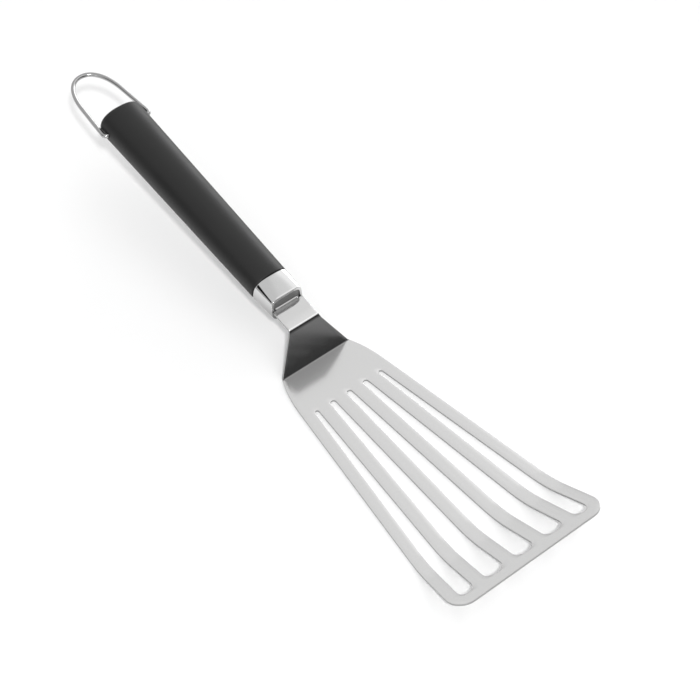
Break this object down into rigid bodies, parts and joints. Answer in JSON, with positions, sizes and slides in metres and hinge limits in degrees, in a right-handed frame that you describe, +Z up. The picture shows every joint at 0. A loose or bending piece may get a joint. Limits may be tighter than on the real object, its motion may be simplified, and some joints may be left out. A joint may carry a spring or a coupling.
{
  "type": "griddle spatula",
  "caption": "Slotted steel griddle spatula with an upturned tip, a stepped-up neck, a steel collar, a soft black grip and a swinging wire loop to hang it by.",
  "frame": {"origin": "on the blade's underside, in the middle of the solid heel, about 14 mm ahead of the heel bend", "axes": "+X along the blade towards its tip, +Y to the left, +Z up from the surface that the blade lies on"},
  "size_m": [0.3826, 0.0966, 0.0577],
  "materials": {
    "blade_steel": "satin stainless sheet",
    "collar_steel": "polished stainless steel",
    "plug_steel": "satin grey steel",
    "core_nylon": "moulded nylon",
    "grip_soft": "soft-touch matte black",
    "pin_steel": "plain steel pin",
    "loop_wire": "polished round wire"
  },
  "bodies": {
    "utensil": {"blade": "blade_steel", "collar": "collar_steel", "neck_plug": "plug_steel", "handle_core": "core_nylon", "grip_sleeve": "grip_soft", "tang_pin_front": "pin_steel", "tang_pin_rear": "pin_steel"},
    "loop": {"hang_loop": "loop_wire"}
  },
  "joints": [
    {"name": "loop_swing", "type": "hinge", "parent": "utensil", "child": "loop", "pos_m": [-0.17993, 0, 0.04781], "axis": [0, 1, 0], "range_deg": [-158, 168]}
  ]
}
